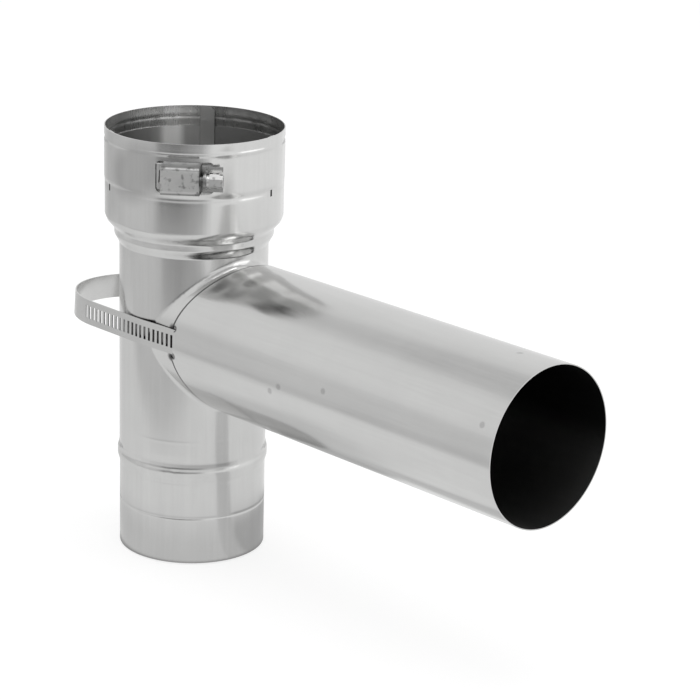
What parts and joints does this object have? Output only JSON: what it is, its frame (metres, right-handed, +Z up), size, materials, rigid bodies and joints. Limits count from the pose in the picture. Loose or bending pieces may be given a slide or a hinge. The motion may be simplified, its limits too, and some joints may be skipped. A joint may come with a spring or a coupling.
{
  "type": "stove pipe tee",
  "caption": "Stainless stove pipe tee: upright body with clamp collar and beaded spigot, and a removable side snout tied on by a perforated worm-drive strap.",
  "frame": {"origin": "centre of the spigot's bottom mouth, on the body's axis", "axes": "+Z up the body towards the collar, +X out along the snout, +Y to the side"},
  "size_m": [0.3251, 0.0924, 0.2237],
  "materials": {
    "drawn_body": "bright rolled stainless sheet with soft polishing marks round the tube and light handling smudges",
    "snout_sheet": "bright annealed stainless sheet, fine grain along the pipe, faint spot-weld marks",
    "band_strip": "smooth bright stainless strip with punched slots",
    "strap_strip": "smooth bright stainless strip with punched slots",
    "clamp_pressing": "tumbled stainless pressing, no lettering",
    "clamp_screw": "bright plated steel screw",
    "retainer_strip": "dull rolled stainless strip"
  },
  "bodies": {
    "body": {"tee_body": "drawn_body", "collar_band": "band_strip", "band_clamp_housing": "clamp_pressing", "band_clamp_saddle": "clamp_pressing", "band_retainer_1": "retainer_strip", "band_retainer_2": "retainer_strip", "band_retainer_3": "retainer_strip"},
    "band_screw": {"band_clamp_screw": "clamp_screw"},
    "snout": {"snout_pipe": "snout_sheet", "snout_strap": "strap_strip", "strap_clamp_housing": "clamp_pressing", "strap_clamp_saddle": "clamp_pressing"},
    "strap_screw": {"strap_clamp_screw": "clamp_screw"}
  },
  "joints": [
    {"name": "snout_slide", "type": "slide", "parent": "body", "child": "snout", "axis": [1, 0, 0], "range_m": [0, 0.035]},
    {"name": "band_screw_turn", "type": "hinge", "parent": "body", "child": "band_screw", "pos_m": [0.03295, -0.0366, 0.2068], "axis": [0.7431, 0.6691, 0], "continuous": true},
    {"name": "strap_screw_turn", "type": "hinge", "parent": "snout", "child": "strap_screw", "pos_m": [0.106, -0.03168, 0.12255], "axis": [1, 0, 0], "continuous": true}
  ]
}
